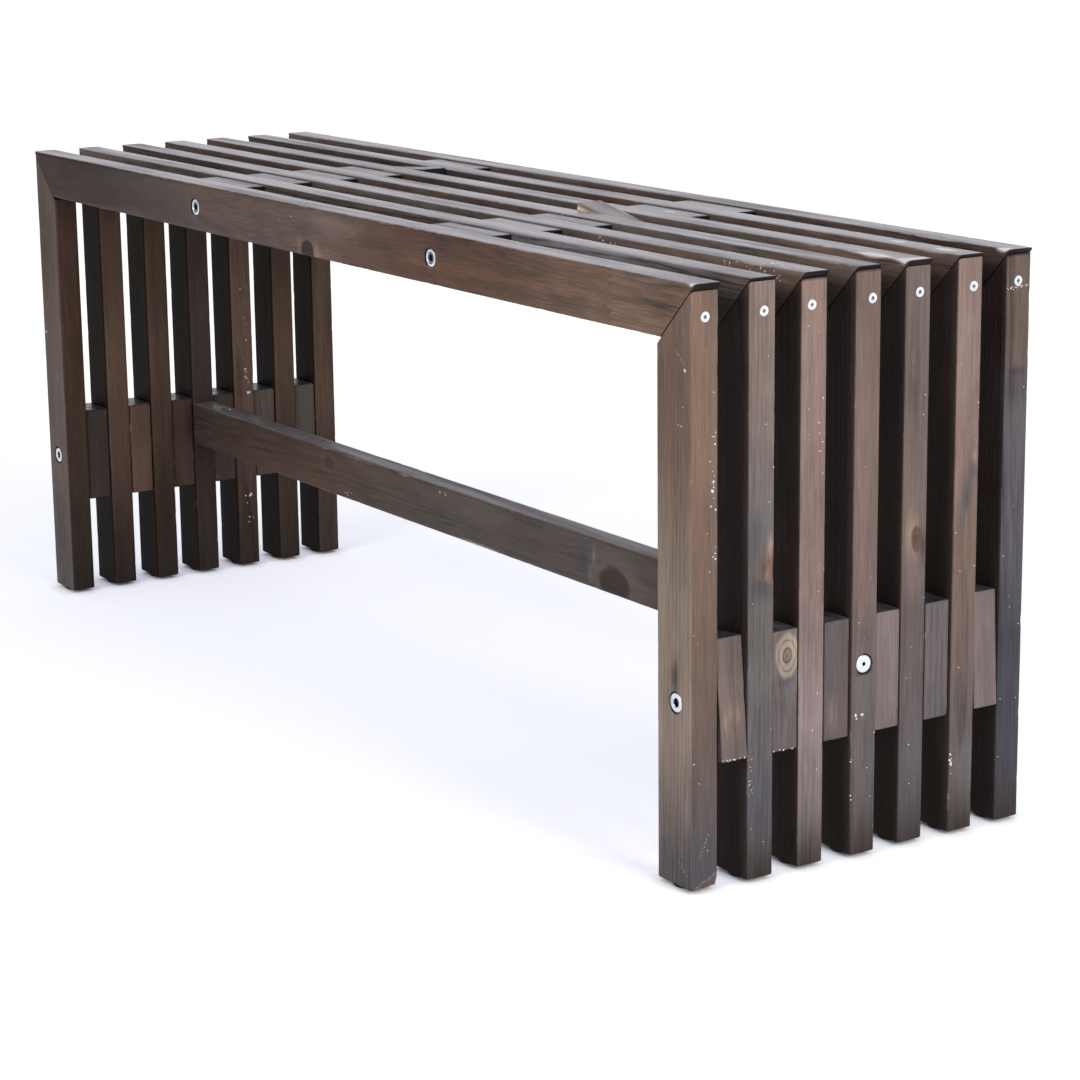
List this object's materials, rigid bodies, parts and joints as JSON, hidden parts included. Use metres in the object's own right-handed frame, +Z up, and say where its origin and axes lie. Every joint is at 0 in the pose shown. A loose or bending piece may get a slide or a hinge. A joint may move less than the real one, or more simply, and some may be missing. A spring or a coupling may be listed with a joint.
{
  "type": "slatted bench",
  "caption": "Slatted bench of dark stained timber: mitred U frames kept apart by spacer blocks, clamped by through bolts and tied by a low stretcher.",
  "frame": {"origin": "on the floor, under the middle of the seat", "axes": "+X along the seat to the end with the more crept mitres, +Y from the bolt-head side to the nut side, +Z up"},
  "size_m": [1.14, 0.312, 0.456],
  "materials": {
    "rail_wood": "dark walnut stain, worn satin",
    "leg_wood": "dark walnut stain, worn satin",
    "spacer_wood": "thin dark stain, dull",
    "stretcher_wood": "dark walnut stain, satin",
    "zinc_steel": "bright zinc plating"
  },
  "bodies": {
    "root": {"seat_rail_1": "rail_wood", "seat_rail_2": "rail_wood", "seat_rail_3": "rail_wood", "seat_rail_4": "rail_wood", "seat_rail_5": "rail_wood", "seat_rail_6": "rail_wood", "seat_rail_7": "rail_wood", "left_leg_1": "leg_wood", "left_leg_2": "leg_wood", "left_leg_3": "leg_wood", "left_leg_4": "leg_wood", "left_leg_5": "leg_wood", "left_leg_6": "leg_wood", "left_leg_7": "leg_wood", "right_leg_1": "leg_wood", "right_leg_2": "leg_wood", "right_leg_3": "leg_wood", "right_leg_4": "leg_wood", "right_leg_5": "leg_wood", "right_leg_6": "leg_wood", "right_leg_7": "leg_wood", "left_seat_spacer_1": "spacer_wood", "left_seat_spacer_2": "spacer_wood", "left_seat_spacer_3": "spacer_wood", "left_seat_spacer_4": "spacer_wood", "left_seat_spacer_5": "spacer_wood", "left_seat_spacer_6": "spacer_wood", "right_seat_spacer_1": "spacer_wood", "right_seat_spacer_2": "spacer_wood", "right_seat_spacer_3": "spacer_wood", "right_seat_spacer_4": "spacer_wood", "right_seat_spacer_5": "spacer_wood", "right_seat_spacer_6": "spacer_wood", "left_leg_spacer_1": "spacer_wood", "left_leg_spacer_2": "spacer_wood", "left_leg_spacer_3": "spacer_wood", "left_leg_spacer_4": "spacer_wood", "left_leg_spacer_5": "spacer_wood", "left_leg_spacer_6": "spacer_wood", "right_leg_spacer_1": "spacer_wood", "right_leg_spacer_2": "spacer_wood", "right_leg_spacer_3": "spacer_wood", "right_leg_spacer_4": "spacer_wood", "right_leg_spacer_5": "spacer_wood", "right_leg_spacer_6": "spacer_wood", "stretcher": "stretcher_wood", "left_seat_bolt": "zinc_steel", "right_seat_bolt": "zinc_steel", "left_leg_bolt": "zinc_steel", "right_leg_bolt": "zinc_steel", "left_seat_nut": "zinc_steel", "right_seat_nut": "zinc_steel", "left_leg_nut": "zinc_steel", "right_leg_nut": "zinc_steel", "left_stretcher_screw": "zinc_steel", "right_stretcher_screw": "zinc_steel"}
  },
  "joints": []
}
